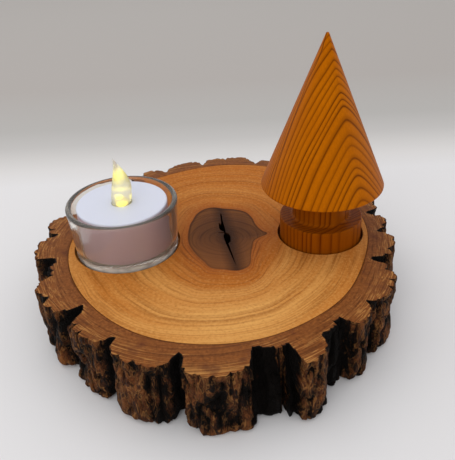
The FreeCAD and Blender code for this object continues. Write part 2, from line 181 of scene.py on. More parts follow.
LATTICE_ROWS = 64            # rows after which the noise repeats
SAME_LEVEL = 0.01 * MM       # points this near the underside lie on it
CLEARLY_OUTSIDE = 1.5 * MM   # points this far beyond the wood belong to the bark


def lattice_noise(across, along, cells, seed):
    """Smooth noise from 0 to 1: random heights at whole across and along, blended between neighbours by
    3t^2 - 2t^3. It repeats after that many cells across, so a ring closes without a step."""
    heights = np.random.default_rng(seed).random((cells, LATTICE_ROWS))
    column, row = np.floor(across).astype(int), np.floor(along).astype(int)
    s, t = across - column, along - row
    s, t = s * s * (3 - 2 * s), t * t * (3 - 2 * t)
    left, right = column % cells, (column + 1) % cells
    low, high = row % LATTICE_ROWS, (row + 1) % LATTICE_ROWS
    lower = heights[left, low] * (1 - s) + heights[right, low] * s
    upper = heights[left, high] * (1 - s) + heights[right, high] * s
    return lower * (1 - t) + upper * t


def crease(noise, sharpness):
    """Thin lines where the noise passes its middle: 1 there, falling to 0 at its extremes."""
    return (1 - np.abs(2 * noise - 1)) ** sharpness


def smooth_step(low, high, value):
    """0 below low, 1 above high, and 3t^2 - 2t^3 between them."""
    t = np.clip((value - low) / (high - low), 0, 1)
    return t * t * (3 - 2 * t)


def fair(x, knots):
    """A smooth curve through (x, y) knots: cubic Hermite pieces with slopes from each knot's neighbours."""
    xs, ys = np.array(knots, float).T
    slopes = np.gradient(ys, xs)
    i = np.clip(np.searchsorted(xs, x) - 1, 0, len(xs) - 2)
    step = xs[i + 1] - xs[i]
    t = np.clip((x - xs[i]) / step, 0, 1)
    return ((2 * t ** 3 - 3 * t ** 2 + 1) * ys[i] + (t ** 3 - 2 * t ** 2 + t) * step * slopes[i]
            + (3 * t ** 2 - 2 * t ** 3) * ys[i + 1] + (t ** 3 - t ** 2) * step * slopes[i + 1])


def rounded(corners, steps=6, longest=1.2 * MM):
    """A profile through (radius, height, rounding) corners. A rounding is a circular arc tangent to both
    sides, from centre + radius slerp(t). Straight runs are divided so that no step is over longest."""
    places = np.array([c[:2] for c in corners], float)
    path = [places[0]]
    for before, corner, after, (_, _, radius) in zip(places, places[1:], places[2:], corners[1:-1]):
        if radius == 0:
            path.append(corner)
            continue
        back = (before - corner) / np.linalg.norm(before - corner)
        ahead = (after - corner) / np.linalg.norm(after - corner)
        half = math.acos(np.clip(back @ ahead, -1, 1)) / 2
        middle = (back + ahead) / np.linalg.norm(back + ahead)
        centre = corner + middle * radius / math.sin(half)
        reach = radius / math.tan(half)
        first, last = corner + back * reach - centre, corner + ahead * reach - centre
        sweep = math.pi - 2 * half
        for t in np.linspace(0, 1, steps + 1):
            path.append(centre + (first * math.sin((1 - t) * sweep) + last * math.sin(t * sweep))
                        / math.sin(sweep))
    path.append(places[-1])
    full = [path[0]]
    for start, end in zip(path, path[1:]):
        count = max(1, math.ceil(np.linalg.norm(end - start) / longest))
        full += [start + (end - start) * k / count for k in range(1, count + 1)]
    return np.array(full)


def ring_quads(rows, columns, close_rows=False):
    """Quads between neighbouring points of a grid whose columns go round a ring. Row i, column j is point
    i * columns + j, and each quad faces out where columns run anticlockwise and rows run up the outside."""
    i = np.arange(rows if close_rows else rows - 1)[:, None]
    j = np.arange(columns)[None, :]
    up, on = (i + 1) % rows, (j + 1) % columns
    corners = [i * columns + j, i * columns + on, up * columns + on, up * columns + j]
    return np.stack(np.broadcast_arrays(*corners), axis=-1).reshape(-1, 4)


def turned(profile, centre, facets, lean=0.0, flat=1.0, twist=0.0):
    """Points and faces of a closed turned shape from a (radius, height) profile that starts and ends on the
    axis. At height z, a point at angle a lies at (radius cos a, flat radius sin a), turned by twist and
    moved by lean along X. Each end is one pole point, joined to its ring by triangles."""
    radius, height = profile[1:-1, :1], profile[1:-1, 1:]
    lean, flat, twist = (np.broadcast_to(v, len(profile))[:, None] for v in (lean, flat, twist))
    angle = np.linspace(0, FULL_TURN, facets, endpoint=False)[None, :]
    x, y = radius * np.cos(angle), radius * np.sin(angle) * flat[1:-1]
    c, s = np.cos(twist[1:-1]), np.sin(twist[1:-1])
    rings = np.stack([x * c - y * s + lean[1:-1] + centre.x, x * s + y * c + centre.y,
                      np.broadcast_to(height, x.shape)], axis=-1).reshape(-1, 3)
    poles = [(centre.x + lean[k, 0], centre.y, profile[k, 1]) for k in (0, -1)]
    quads = ring_quads(len(profile) - 2, facets)
    j = np.arange(facets)
    on, top = (j + 1) % facets, (len(profile) - 3) * facets
    first, last = len(rings), len(rings) + 1
    fans = np.concatenate([np.stack([np.full(facets, first), on, j], axis=-1),
                           np.stack([np.full(facets, last), top + j, top + on], axis=-1)])
    return np.vstack([rings, poles]), quads.tolist() + fans.tolist()


def new_piece(name, points, faces, material, body, replaced):
    """A smooth-shaded mesh object at the origin that rides on a body and stands for a CAD node."""
    mesh = bpy.data.meshes.new(name)
    mesh.from_pydata(points.tolist(), [], faces)
    mesh.shade_smooth()
    mesh.materials.append(material)
    piece = bpy.data.objects.new(name, mesh)
    bpy.context.scene.collection.objects.link(piece)
    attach(piece, body)
    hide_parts(replaced)
    return piece


def foot_outline(node, beyond=None):
    """(angle, radius) round the underside of a CAD node, by rising angle. Where beyond is given, it is the
    outline that only points clearly outside it are kept for."""
    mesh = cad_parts[node].data
    points = np.empty(len(mesh.vertices) * 3, np.float32)
    mesh.vertices.foreach_get("co", points)
    points = points.reshape(-1, 3).astype(float)
    low = points[points[:, 2] < points[:, 2].min() + SAME_LEVEL]
    angle, radius = np.arctan2(low[:, 1], low[:, 0]), np.hypot(low[:, 0], low[:, 1])
    if beyond is not None:
        outside = radius > radius_at(angle, beyond) + CLEARLY_OUTSIDE
        angle, radius = angle[outside], radius[outside]
    _, kept = np.unique(angle.round(5), return_index=True)
    return angle[kept], radius[kept]


def radius_at(angle, outline):
    """An outline's radius at an angle, straight between its points."""
    return np.interp(angle, outline[0], outline[1], period=FULL_TURN)


# ---- Material helpers ----

def add_node(tree, kind, inputs=(), stops=(), points=(), **settings):
    """Adds one node. A math node's kind ends with its operation. Inputs are values, colours, sockets or nodes
    (a node stands for its first output), by name or in order: a MapRange takes its value, then the low and
    high it comes from, then the low and high it goes to. Stops are a colour ramp's (place, colour) pairs,
    points are a curve's (x, y) pairs, and settings are the node's own properties."""
    kind, _, operation = kind.partition(" ")
    node = tree.nodes.new("ShaderNode" + kind)
    if operation:
        node.operation = operation
    for key, value in settings.items():
        setattr(node, key, value)
    pairs = inputs.items() if isinstance(inputs, dict) else enumerate(inputs)
    for key, value in pairs:
        socket = node.inputs[key]
        if isinstance(value, bpy.types.Node):
            value = value.outputs[0]
        if isinstance(value, bpy.types.NodeSocket):
            tree.links.new(value, socket)
        elif value is not None:
            socket.default_value = rgba(value) if socket.type == "RGBA" else value
    for k, (place, shade) in enumerate(stops):
        elements = node.color_ramp.elements
        stop = elements[k] if k < 2 else elements.new(place)
        stop.position, stop.color = place, rgba(shade)
    if points:
        curve = node.mapping.curves[0].points
        for k, (x, y) in enumerate(points):
            point = curve[k] if k < 2 else curve.new(x, y)
            point.location = (x, y)
        node.mapping.update()
    return node


def new_material(name):
    """An empty material, what adds a node to it, and a coordinate in millimetres from Object coordinates."""
    material = bpy.data.materials.new(name)
    material.use_nodes = True
    material.node_tree.nodes.clear()
    add = functools.partial(add_node, material.node_tree)
    place = add("TexCoord").outputs["Object"]
    mm = add("VectorMath SCALE", {0: place, "Scale": 1 / MM})
    return material, add, mm


def finish_surface(add, shader, height=None, relief=0.0, surface=None):
    """Links the surface, or else the shader, to the output, with a bump on the shader whose full height is
    relief, in metres."""
    if height is not None:
        bump = add("Bump", {"Height": height, "Distance": relief, "Strength": 1.0})
        shader.id_data.links.new(bump.outputs[0], shader.inputs["Normal"])
    add("OutputMaterial", {"Surface": surface or shader})


# Oiled end grain of the slice. Sapwood with fine rings that follow the heart near it and the bark near the
# bark, a reddish halo, and a dark heart with a checked centre. The eye gets a golden, satin, quiet figure.
HEART_OUTLINE = [
    (0, 15), (7, 17.3), (15, 16), (38, 16.5), (57, 21), (69, 24), (80, 25), (91, 26), (106, 28), (121, 26),
    (138, 22), (160, 18.5), (195, 17), (218, 18), (238, 20.5), (250, 23), (264, 23), (283, 24), (303, 16),
    (320, 13), (346, 12),
]                            # degrees and millimetres from the pith
CURVE_REACH = 100.0          # millimetres that a radius curve's full height stands for
RINGS = 44.0                 # growth rings from the heart to the bark
EDGE_POINTS = 25             # points of the curve that follows the wood's edge


def end_grain(colours):
    material, add, mm = new_material("oiled_end_grain")
    sway = add("TexNoise", {"Vector": mm, "Scale": 0.03, "Detail": 2.0})
    sway = add("VectorMath SUBTRACT", [sway.outputs["Color"], (0.5, 0.5, 0.5)])
    place = add("VectorMath MULTIPLY_ADD", {0: sway, 1: (5.0, 5.0, 0.0), 2: mm})
    flat = add("VectorMath MULTIPLY", [place, (1.0, 1.0, 0.0)])
    radius = add("VectorMath LENGTH", [flat]).outputs["Value"]
    part = add("SeparateXYZ", [flat])
    angle = add("Math ARCTAN2", [part.outputs["Y"], part.outputs["X"]])
    turn = add("Math DIVIDE", [angle, FULL_TURN])
    turn = add("Math FRACT", [turn])

    heart_points = [(a / 360, r / CURVE_REACH) for a, r in HEART_OUTLINE]
    heart_points.append((1.0, heart_points[0][1]))
    edge_outline = foot_outline("wood_slice")
    edge_turns = np.linspace(0, 1, EDGE_POINTS)
    edge_points = [(t, radius_at(t * FULL_TURN, edge_outline) / MM / CURVE_REACH) for t in edge_turns]
    curves = [add("FloatCurve", {"Value": turn}, points=points) for points in (heart_points, edge_points)]
    heart, edge = (add("Math MULTIPLY", [curve, CURVE_REACH]) for curve in curves)
    beyond = add("Math SUBTRACT", [radius, heart])
    width = add("Math SUBTRACT", [edge, heart])
    across = add("Math DIVIDE", [beyond, width])

    # Fine rings of uneven strength and broad soft bands, both slow noises drawn out along the rings.
    ring_place = add("Math MULTIPLY", [across, RINGS])
    ring_place = add("CombineXYZ", [ring_place, None, None])
    fine_place = add("VectorMath MULTIPLY_ADD", {0: mm, 1: (0.035, 0.035, 0.0), 2: ring_place})
    rings = add("TexNoise", {"Vector": fine_place, "Scale": 0.9, "Detail": 2.0, "Roughness": 0.6})
    rings = add("MapRange", [rings, 0.47, 0.7])
    band_place = add("VectorMath MULTIPLY_ADD", {0: mm, 1: (0.1, 0.1, 0.0), 2: ring_place})
    bands = add("TexNoise", {"Vector": band_place, "Scale": 0.13, "Detail": 2.0, "Roughness": 0.55})
    bands = add("MapRange", [bands, 0.38, 0.66])
    grain = add("TexNoise", {"Vector": mm, "Scale": 0.9, "Detail": 3.0, "Roughness": 0.65})
    # Beside the bands, the slice is darker towards the heart, the back and the sides.
    inner = add("MapRange", [across, 0.05, 0.6, 0.9, 0.0])
    back = add("SeparateXYZ", [mm]).outputs["Y"]
    back = add("MapRange", [back, -45.0, 10.0, 0.0, 0.75])
    sides = add("Math ABSOLUTE", [part.outputs["X"]])
    sides = add("MapRange", [sides, 8.0, 50.0, 0.0, 0.6])
    depth = add("Math MAXIMUM", [inner, back])
    depth = add("Math MAXIMUM", [depth, sides])
    depth = add("Math MULTIPLY_ADD", [bands, 0.34, depth], use_clamp=True)
    line = add("Math MULTIPLY", [rings, 0.6])
    fleck = add("MapRange", [grain, 0.5, 0.72, 0.0, 0.3])
    pore = add("MapRange", [grain, 0.46, 0.26, 0.0, 0.35])

    # Halo: reddish brown, wider to the left and right, with a few lines that follow the heart.
    sideways = add("Math DIVIDE", [part.outputs["X"], radius])
    sideways = add("Math ABSOLUTE", [sideways])
    reach = add("Math MULTIPLY_ADD", [sideways, -9.0, -3.0])
    near = add("Math DIVIDE", [beyond, reach])
    near = add("Math EXPONENT", [near])
    near = add("Math MULTIPLY", [near, 0.7], use_clamp=True)
    lines = add("MapRange", [rings, 0.35, 1.0, 0.0, 0.8])
    lines = add("Math MULTIPLY", [lines, near])

    # Rare pin knots.
    cells = add("TexVoronoi", {"Vector": mm, "Scale": 0.085, "Randomness": 1.0})
    speck = add("MapRange", [cells.outputs["Distance"], 0.04, 0.1, 0.8, 0.0])
    chosen = add("SeparateXYZ", [cells.outputs["Color"]])
    chosen = add("Math GREATER_THAN", [chosen.outputs["X"], 0.82])
    speck = add("Math MULTIPLY", [speck, chosen])

    # Heart: dark, with faint rings, a darker outline and a nearly black centre along the check.
    share = add("Math DIVIDE", [radius, heart])
    inside = add("ValToRGB", [share], stops=[
        (0.0, "#3C2418"), (1.0, "#361A0C"), (0.4, "#57341C"),
        (0.72, colours.heart), (0.93, "#6E4220")])
    heart_place = add("CombineXYZ", [radius, None, None])
    heart_place = add("VectorMath MULTIPLY_ADD", {0: mm, 1: (0.08, 0.08, 0.0), 2: heart_place})
    heart_rings = add("TexNoise", {"Vector": heart_place, "Scale": 0.8, "Detail": 2.0})
    dim = add("MapRange", [heart_rings, 0.46, 0.68, 0.0, 0.55])
    inside = add("MixRGB", [dim, inside, "#2E1912"])
    front = add("SeparateXYZ", [mm]).outputs["Y"]
    front = add("MapRange", [front, 4.0, -20.0, 0.0, 0.45])
    inside = add("MixRGB", [front, inside, "#84502A"])
    split = add("VectorMath DOT_PRODUCT", [mm, (1.0, 0.12, 0.0)]).outputs["Value"]
    split = add("Math ABSOLUTE", [split])
    split = add("MapRange", [split, 0.5, 5.0, 0.75, 0.0])
    inside = add("MixRGB", [split, inside, "#23130D"])
    within = add("MapRange", [beyond, -0.35, 0.35, 1.0, 0.0])

    # Painted shade: below the sawn top, the recesses and other lower surfaces are painted a little darker,
    # and those in the heart, the check's walls among them, nearly black.
    level = add("SeparateXYZ", [mm]).outputs["Z"]
    below = add("MapRange", [level, SLICE_TOP / MM - 0.9, SLICE_TOP / MM - 0.1, 1.0, 0.0])
    check_wall_shade = add("Math MULTIPLY", [below, within])
    recess_shade = add("Math MULTIPLY", [below, 0.45])

    # The layers of colour, from the lowest up.
    deep = colours.wood_deep
    shade = colours.wood_pale
    for share, layer in [(depth, deep), (line, [0.5 * part for part in deep]), (fleck, "#E3B069"),
                         (pore, "#7A4316"), (near, colours.wood_halo), (lines, "#5E2C12"),
                         (speck, "#6A3A18"), (within, inside), (recess_shade, "#6B3D18"), (check_wall_shade, "#0A0605")]:
        shade = add("MixRGB", [share, shade, layer])
    rough = add("MapRange", [grain, 0.0, 1.0, 0.4, 0.6])
    height = add("Math MULTIPLY_ADD", [grain, -0.6, rings])
    shader = add("BsdfPrincipled", {"Base Color": shade, "Roughness": rough, "IOR": 1.46,
                                    "Specular IOR Level": 0.05})
    finish_surface(add, shader, height, 0.06 * MM)
    return material


# Dry furrowed bark, oiled with the slice: nearly black cracks, whose dark is partly the bark's own colour
# and partly painted shade, warm brown rough ridges and flakes, a faint gloss. Its sawn face is smooth and
# reddish brown with fine lines that run with the edge, and painted shade at its outer edge next to a furrow.
def bark(colours):
    material, add, mm = new_material("furrowed_bark")
    hollow, across, sawn, depth = (add("Attribute", attribute_name=name).outputs["Fac"]
                                   for name in ("hollow", "across", "sawn", "depth"))

    tall = add("VectorMath MULTIPLY", [mm, (1.0, 1.0, 0.4)])
    warp = add("TexNoise", {"Vector": tall, "Scale": 0.3, "Detail": 2.0})
    warp = add("VectorMath SUBTRACT", [warp.outputs["Color"], (0.5, 0.5, 0.5)])
    tall = add("VectorMath MULTIPLY_ADD", {0: warp, 1: (4.0, 4.0, 4.0), 2: tall})
    streaks = add("TexNoise", {"Vector": tall, "Scale": 0.55, "Detail": 6.0, "Roughness": 0.82})
    mottle = add("TexNoise", {"Vector": mm, "Scale": 0.13, "Detail": 4.0, "Roughness": 0.6})
    worms = add("TexNoise", {"Vector": tall, "Scale": 0.55, "Detail": 1.0})
    worms = add("Math SUBTRACT", [worms, 0.5])
    worms = add("Math ABSOLUTE", [worms])
    worms = add("MapRange", [worms, 0.015, 0.06, 1.0, 0.0])
    # Painted shade: the side's colour runs from nearly black in the hollows to brown on raised bark, on top
    # of the bark's own streaked and mottled tone.
    raised = add("Math SUBTRACT", [1.0, hollow])
    tone_and_shade = add("Math MULTIPLY_ADD", [streaks, 2.4, -1.5])
    tone_and_shade = add("Math MULTIPLY_ADD", [raised, 0.85, tone_and_shade])
    patchy = add("Math MULTIPLY_ADD", [mottle, 1.0, -0.5])
    tone_and_shade = add("Math ADD", [tone_and_shade, patchy], use_clamp=True)
    side = add("ValToRGB", [tone_and_shade], stops=[
        (0.0, colours.bark_furrow), (1.0, "#9A6636"), (0.2, "#170D08"), (0.45, "#462816"),
        (0.75, colours.bark_ridge)])
    flake = add("Math MULTIPLY_ADD", [tone_and_shade, 0.75, -0.02])
    flake = add("Math MULTIPLY", [worms, flake], use_clamp=True)
    side = add("MixRGB", [flake, side, "#B9824A"])
    red = add("MapRange", [mottle, 0.5, 0.68, 0.0, 0.4])
    red = add("Math MULTIPLY", [red, tone_and_shade])
    side = add("MixRGB", [red, side, "#6E3417"])

    # Sawn face: lines a millimetre or two apart that run with the edge, wrinkled and paler outside.
    drawn = add("CombineXYZ", [depth, None, None])
    drawn = add("VectorMath MULTIPLY_ADD", {0: mm, 1: (0.09, 0.09, 0.0), 2: drawn})
    lines = add("TexNoise", {"Vector": drawn, "Scale": 1.0, "Detail": 1.5, "Roughness": 0.5})
    dark_lines = add("MapRange", [lines, 0.47, 0.3, 0.0, 0.6])
    wrinkles = add("Math SUBTRACT", [lines, 0.53])
    wrinkles = add("Math ABSOLUTE", [wrinkles])
    wrinkles = add("MapRange", [wrinkles, 0.01, 0.045, 1.0, 0.0])
    strength = add("MapRange", [across, 0.25, 0.95, 0.0, 0.85])
    wrinkles = add("Math MULTIPLY", [wrinkles, strength])
    grain = add("TexNoise", {"Vector": mm, "Scale": 0.9, "Detail": 4.0, "Roughness": 0.65})
    grain = add("MapRange", [grain, 0.35, 0.68])
    broad = add("MapRange", [mottle, 0.42, 0.62, 0.0, 0.7])
    patches = add("MapRange", [mottle, 0.56, 0.7, 0.0, 0.6])
    cambium = add("MapRange", [depth, 0.1, 0.6, 0.4, 0.0])
    # Painted shade, not wear: the sawn face is painted nearly black at its outer edge where a furrow meets
    # it, and the underside partly dark.
    worn = add("MapRange", [hollow, 0.3, 0.75])
    face = "#663819"
    for share, layer in [(grain, "#935829"), (broad, colours.cut_bark), (dark_lines, "#4C2812"),
                         (wrinkles, "#BC8548"), (patches, "#54291A"), (cambium, "#4A2611"),
                         (worn, "#120A06")]:
        face = add("MixRGB", [share, face, layer])
    shade = add("MixRGB", [sawn, side, face])

    gloss = add("MapRange", [streaks, 0.35, 0.7, 0.45, 0.8])
    rough = add("MixRGB", [sawn, gloss, (0.5, 0.5, 0.5)])
    side_height = add("Math MULTIPLY_ADD", [worms, 0.25, streaks])
    face_height = add("Math MULTIPLY", [wrinkles, 0.08])
    height = add("MixRGB", [sawn, side_height, face_height])
    shader = add("BsdfPrincipled", {"Base Color": shade, "Roughness": rough, "IOR": 1.46,
                                    "Specular IOR Level": 0.08})
    finish_surface(add, shader, height, 1.6 * MM)
    return material


# Turned softwood, oiled: pale growth that darkens to a thin line of late growth at each ring. The rings lie
# on one side of the blank, so that the cone cuts them as nested arches and the foot as upright stripes.
ARCH_DIRECTION = math.radians(-60.3)
ARCH_SPREAD = (0.00648, 0.00014)   # share of the radius lost per degree: at the axis, and more per millimetre
ARCH_CROWN = 7.2                   # degrees over which an arch's crown is rounded
RING_PLACES = [-30, 0, 2.9, 4.4, 5.5, 6.5, 7.5, 8.7, 9.6, 10.5, 12.4, 14.6, 16.1, 18, 19.4, 20.5, 22.3, 26]
RING_NUMBERS = [-30, 0, *range(3, 18), 19]   # the ring that ends at each place, in millimetres, above
CHECK_DIRECTION = math.radians(-163)


def turned_softwood(colours):
    material, add, mm = new_material("turned_softwood")
    tip = Vector((TREE_CENTRE.x, TREE_CENTRE.y, TREE_HIGH.z)) / MM
    local = add("VectorMath SUBTRACT", [mm, tuple(tip)])
    part = add("SeparateXYZ", [local])
    level = add("VectorMath MULTIPLY", [local, (1.0, 1.0, 0.0)])
    gap = add("VectorMath LENGTH", [level]).outputs["Value"]
    ahead = add("VectorMath NORMALIZE", [level])
    ahead = add("VectorMath DOT_PRODUCT", [ahead, (math.cos(ARCH_DIRECTION), math.sin(ARCH_DIRECTION),
                                                   0.0)]).outputs["Value"]
    apart = add("Math MULTIPLY", [ahead, 0.9999])
    apart = add("Math ARCCOSINE", [apart])
    apart = add("Math DEGREES", [apart])
    apart = add("Math MULTIPLY_ADD", [apart, apart, ARCH_CROWN ** 2])
    apart = add("Math SQRT", [apart])
    apart = add("Math SUBTRACT", [apart, ARCH_CROWN])
    spread = add("Math MULTIPLY_ADD", [gap, -ARCH_SPREAD[1], -ARCH_SPREAD[0]])
    kept = add("Math MULTIPLY_ADD", [apart, spread, 1.0])
    place = add("Math MULTIPLY", [kept, gap])
    waver = add("VectorMath MULTIPLY", [local, (1.0, 1.0, 0.3)])
    waver = add("TexNoise", {"Vector": waver, "Scale": 0.07, "Detail": 1.0})
    waver = add("Math MULTIPLY_ADD", [waver, 0.9, -0.45])
    place = add("Math ADD", [place, waver])

    low, span = RING_PLACES[0], RING_PLACES[-1] - RING_PLACES[0]
    count = RING_NUMBERS[-1] - RING_NUMBERS[0]
    share = add("MapRange", [place, low, low + span])
    steps = [((r - low) / span, (n - RING_NUMBERS[0]) / count) for r, n in zip(RING_PLACES, RING_NUMBERS)]
    rings = add("FloatCurve", {"Value": share}, points=[steps[0], steps[-1], *steps[1:-1]])
    rings = add("Math MULTIPLY", [rings, count])
    late = add("Math FRACT", [rings])
    pale, dark = colours.tree_pale, colours.tree_dark
    shade = add("ValToRGB", [late], stops=[
        (0.0, dark), (1.0, dark), (0.07, "#8C4903"), (0.18, pale), (0.55, pale),
        (0.86, "#904C03"), (0.95, dark)])
    number = add("Math ADD", [rings, 0.5])
    number = add("Math FLOOR", [number])
    number = add("TexWhiteNoise", {"W": number}, noise_dimensions="1D")
    faint = add("MapRange", [number, 0.0, 1.0, 0.0, 0.5])
    left = add("MapRange", [place, 4.0, -2.0, 0.0, 0.35])
    faint = add("Math MAXIMUM", [faint, left])
    shade = add("MixRGB", [faint, shade, pale])

    fibres = add("VectorMath MULTIPLY", [local, (1.0, 1.0, 0.035)])
    fibres = add("TexNoise", {"Vector": fibres, "Scale": 1.5, "Detail": 3.0, "Roughness": 0.6})
    streak = add("MapRange", [fibres, 0.35, 0.75, 0.0, 0.4])
    shade = add("MixRGB", [streak, shade, "#8A4803"])
    blush = add("TexNoise", {"Vector": local, "Scale": 0.05, "Detail": 2.0})
    blush = add("MapRange", [blush, 0.4, 0.7, 0.0, 0.35])
    shade = add("MixRGB", [blush, shade, "#984C04"])
    # Painted shade: the stem and foot under the cone are painted darker and redder, partly as shade under the
    # cone and partly as darker wood.
    foot_shade_and_tone = add("MapRange", [part.outputs["Z"], -60.5, -62.0, 0.0, 0.55])
    shade = add("MixRGB", [foot_shade_and_tone, shade, "#581C03"])

    # A hairline drying check that runs down the cone and bends near the tip.
    angle = add("Math ARCTAN2", [part.outputs["Y"], part.outputs["X"]])
    bend = add("MapRange", [part.outputs["Z"], -16.0, -6.0, CHECK_DIRECTION, CHECK_DIRECTION + 0.4])
    jitter = add("TexNoise", {"Vector": local, "Scale": 0.2, "Detail": 3.0})
    jitter = add("Math MULTIPLY_ADD", [jitter, 0.08, -0.04])
    away = add("Math SUBTRACT", [angle, bend])
    away = add("Math ADD", [away, jitter])
    away = add("Math ABSOLUTE", [away])
    away = add("Math MULTIPLY", [away, gap])
    check = add("MapRange", [away, 0.12, 0.32, 0.7, 0.0])
    on_cone = add("MapRange", [part.outputs["Z"], -60.0, -57.0])
    check = add("Math MULTIPLY", [check, on_cone])
    shade = add("MixRGB", [check, shade, "#4A2206"])

    rough = add("MapRange", [fibres, 0.0, 1.0, 0.4, 0.55])
    height = add("Math MULTIPLY_ADD", [fibres, 0.6, late])
    height = add("Math SUBTRACT", [height, check])
    shader = add("BsdfPrincipled", {"Base Color": shade, "Roughness": rough, "IOR": 1.46,
                                    "Specular IOR Level": 0.12, "Specular Tint": "#FF9A20"})
    finish_surface(add, shader, height, 0.05 * MM)
    return material


# Pressed soda-lime glass, fire polished: clear with a faint green-grey body, slight waves in its skin, and a
# thick base painted whiter and less clear in patches, as painted reflection. Rays towards a lamp pass
# straight through, so that what stands inside and below gets light.
def pressed_glass():
    material, add, mm = new_material("pressed_glass")
    waves = add("TexNoise", {"Vector": mm, "Scale": 0.12, "Detail": 2.0})
    rough = add("MapRange", [waves, 0.0, 1.0, 0.01, 0.05])
    level = add("SeparateXYZ", [mm]).outputs["Z"]
    # Painted reflection: the thick base is whiter and less clear in patches.
    base_reflection_patches = add("MapRange", [waves, 0.4, 0.62, 0.4, 0.8])
    clearness = add("MapRange", [level, CUP_LOW.z / MM + 4.0, CUP_LOW.z / MM + 6.0, base_reflection_patches, 0.97])
    shader = add("BsdfPrincipled", {"Base Color": "#F5F1E8", "IOR": 1.47, "Roughness": rough,
                                    "Transmission Weight": clearness})
    toward_lamp = add("LightPath").outputs["Is Shadow Ray"]
    clear = add("BsdfTransparent", {"Color": "#F6F8F4"})
    surface = add("MixShader", [toward_lamp, shader, clear])
    finish_surface(add, shader, waves, 0.06 * MM, surface)
    return material


# Injection-moulded polypropylene, satin: cool white on top; the side is painted darker and lilac, as painted
# shade with the wood's warm light in it.
def moulded_white(colours):
    material, add, mm = new_material("moulded_polypropylene")
    mottle = add("TexNoise", {"Vector": mm, "Scale": 0.09, "Detail": 3.0})
    tint = [0.95 * part for part in colours.candle]
    shade = add("MixRGB", [mottle, colours.candle, tint])
    level = add("SeparateXYZ", [mm]).outputs["Z"]
    # Painted shade: from just below the top edge down, the side is painted darker and lilac.
    down = add("MapRange", [level, SHELL_HIGH.z / MM - 0.5, SHELL_HIGH.z / MM - 1.6, 0.0, 0.8])
    shade = add("MixRGB", [down, shade, "#AA8391"])
    skin = add("TexNoise", {"Vector": mm, "Scale": 2.5, "Detail": 2.0})
    rough = add("MapRange", [skin, 0.0, 1.0, 0.38, 0.5])
    shader = add("BsdfPrincipled", {"Base Color": shade, "Roughness": rough, "IOR": 1.49,
                                    "Subsurface Weight": 0.15, "Subsurface Radius": (1.0, 0.9, 0.8),
                                    "Subsurface Scale": 1.0 * MM, "Specular IOR Level": 0.3})
    finish_surface(add, shader, skin, 0.02 * MM)
    return material


# Clear moulded flame, lightly frosted. The lamp's yellow light in it is painted as emission: two small ovals
# low
# down and a soft patch at the waist: places above the shell, sideways, size across, size up, and strength.
FLAME_GLOWS = [(0.8, 0.6, 2.6, 1.3, 1.0), (4.4, -0.2, 2.2, 1.5, 0.8), (12.4, 0.3, 3.0, 4.0, 0.4)]


def glowing_flame(colours):
    material, add, mm = new_material("frosted_clear_moulding")
    seat = (CUP_CENTRE.x / MM, 0.0, SHELL_HIGH.z / MM)
    local = add("VectorMath SUBTRACT", [mm, seat])
    level = add("SeparateXYZ", [local]).outputs["Z"]
    share = add("MapRange", [level, 0.0, (FLAME_HIGH.z - SHELL_HIGH.z) / MM])
    # Painted light: the colour is yellower at the foot and at the waist, where the lamp's light shows.
    shade = add("ValToRGB", [share], stops=[
        (0.0, "#FFFBE0"), (1.0, "#FAF8F2"), (0.3, "#FBF9F0"),
        (0.6, "#FDF6BE"), (0.78, "#FBF8EC")])
    glow = None
    for up, sideways, wide, tall, strength in FLAME_GLOWS:
        away = add("VectorMath SUBTRACT", [local, (sideways, 0.0, up)])
        away = add("VectorMath MULTIPLY", [away, (1 / wide, 0.0, 1 / tall)])
        away = add("VectorMath LENGTH", [away]).outputs["Value"]
        spot = add("MapRange", [away, 0.2, 1.0, strength, 0.0])
        glow = spot if glow is None else add("Math ADD", [glow, spot])
    skin = add("TexNoise", {"Vector": mm, "Scale": 0.7, "Detail": 2.0})
    rough = add("MapRange", [skin, 0.0, 1.0, 0.12, 0.3])
    shader = add("BsdfPrincipled", {"Base Color": shade, "Roughness": rough, "IOR": 1.35,
                                    "Transmission Weight": 0.6, "Emission Color": colours.glow,
                                    "Emission Strength": glow})
    finish_surface(add, shader, skin, 0.15 * MM)
    return material


# Cast epoxy lamp: tinted resin that glows from its dome.
def lamp_resin(colours):
    material, add, mm = new_material("cast_epoxy")
    level = add("SeparateXYZ", [mm]).outputs["Z"]
    hot = add("MapRange", [level, LAMP_LOW.z / MM, LAMP_HIGH.z / MM, 0.15, 0.5])
    shader = add("BsdfPrincipled", {"Base Color": "#FFEE8C", "Roughness": 0.15, "IOR": 1.55,
                                    "Emission Color": colours.glow, "Emission Strength": hot})
    finish_surface(add, shader)
    return material


# Injection-moulded ABS with a fine spark-eroded texture.
def moulded_abs(name, code):
    material, add, mm = new_material(name)
    grit = add("TexNoise", {"Vector": mm, "Scale": 4.0, "Detail": 3.0})
    flow = add("TexNoise", {"Vector": mm, "Scale": 0.15, "Detail": 2.0})
    shade = linear(code)
    shade = add("MixRGB", [flow, shade, [0.86 * part for part in shade]])
    rough = add("MapRange", [grit, 0.0, 1.0, 0.42, 0.62])
    shader = add("BsdfPrincipled", {"Base Color": shade, "Roughness": rough, "IOR": 1.53})
    finish_surface(add, shader, grit, 0.03 * MM)
    return material


# Plated sheet steel, rolled or lapped: fine lines and a cool satin shine.
def plated_steel(name, code, line_stretch):
    material, add, mm = new_material(name)
    drawn = add("VectorMath MULTIPLY", [mm, line_stretch])
    lines = add("TexNoise", {"Vector": drawn, "Scale": 3.0, "Detail": 3.0})
    shade = linear(code)
    shade = add("MixRGB", [lines, shade, [0.75 * part for part in shade]])
    rough = add("MapRange", [lines, 0.0, 1.0, 0.2, 0.4])
    shader = add("BsdfPrincipled", {"Base Color": shade, "Roughness": rough, "Metallic": 1.0})
    finish_surface(add, shader, lines, 0.01 * MM)
    return material


